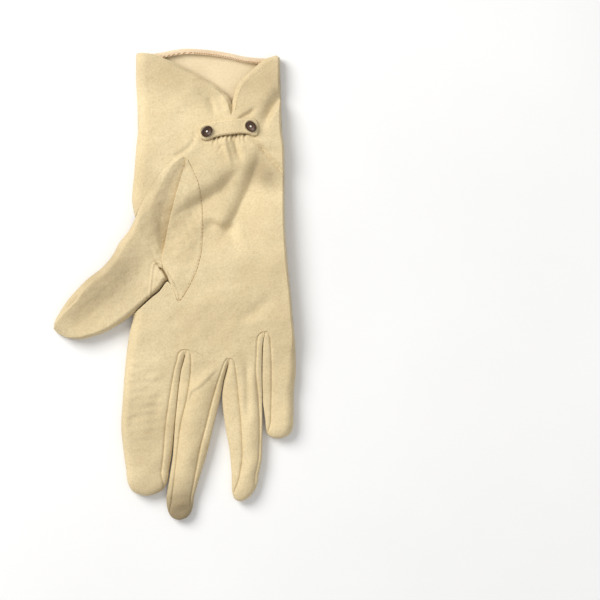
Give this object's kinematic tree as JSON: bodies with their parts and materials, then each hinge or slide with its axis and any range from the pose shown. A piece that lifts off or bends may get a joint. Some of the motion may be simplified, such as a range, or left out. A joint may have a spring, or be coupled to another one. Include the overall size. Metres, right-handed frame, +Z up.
{
  "type": "dress glove",
  "caption": "Right-hand dress glove of ivory faux leather, palm up, with a V notch, gathered wrist and a buttoned strap.",
  "frame": {"origin": "under the middle of the glove's outline, on the surface that it lies on", "axes": "+Y from the fingers to the cuff, +X from the thumb to the little finger, +Z up from the back to the palm"},
  "size_m": [0.1286, 0.2499, 0.0156],
  "materials": {
    "ivory_leather": "matte",
    "button_brown": "gloss"
  },
  "bodies": {
    "root": {"trank": "ivory_leather", "fourchette_index_middle": "ivory_leather", "fourchette_middle_ring": "ivory_leather", "fourchette_ring_little": "ivory_leather", "thumb": "ivory_leather", "strap": "ivory_leather", "button_left": "button_brown", "button_right": "button_brown"}
  },
  "joints": []
}
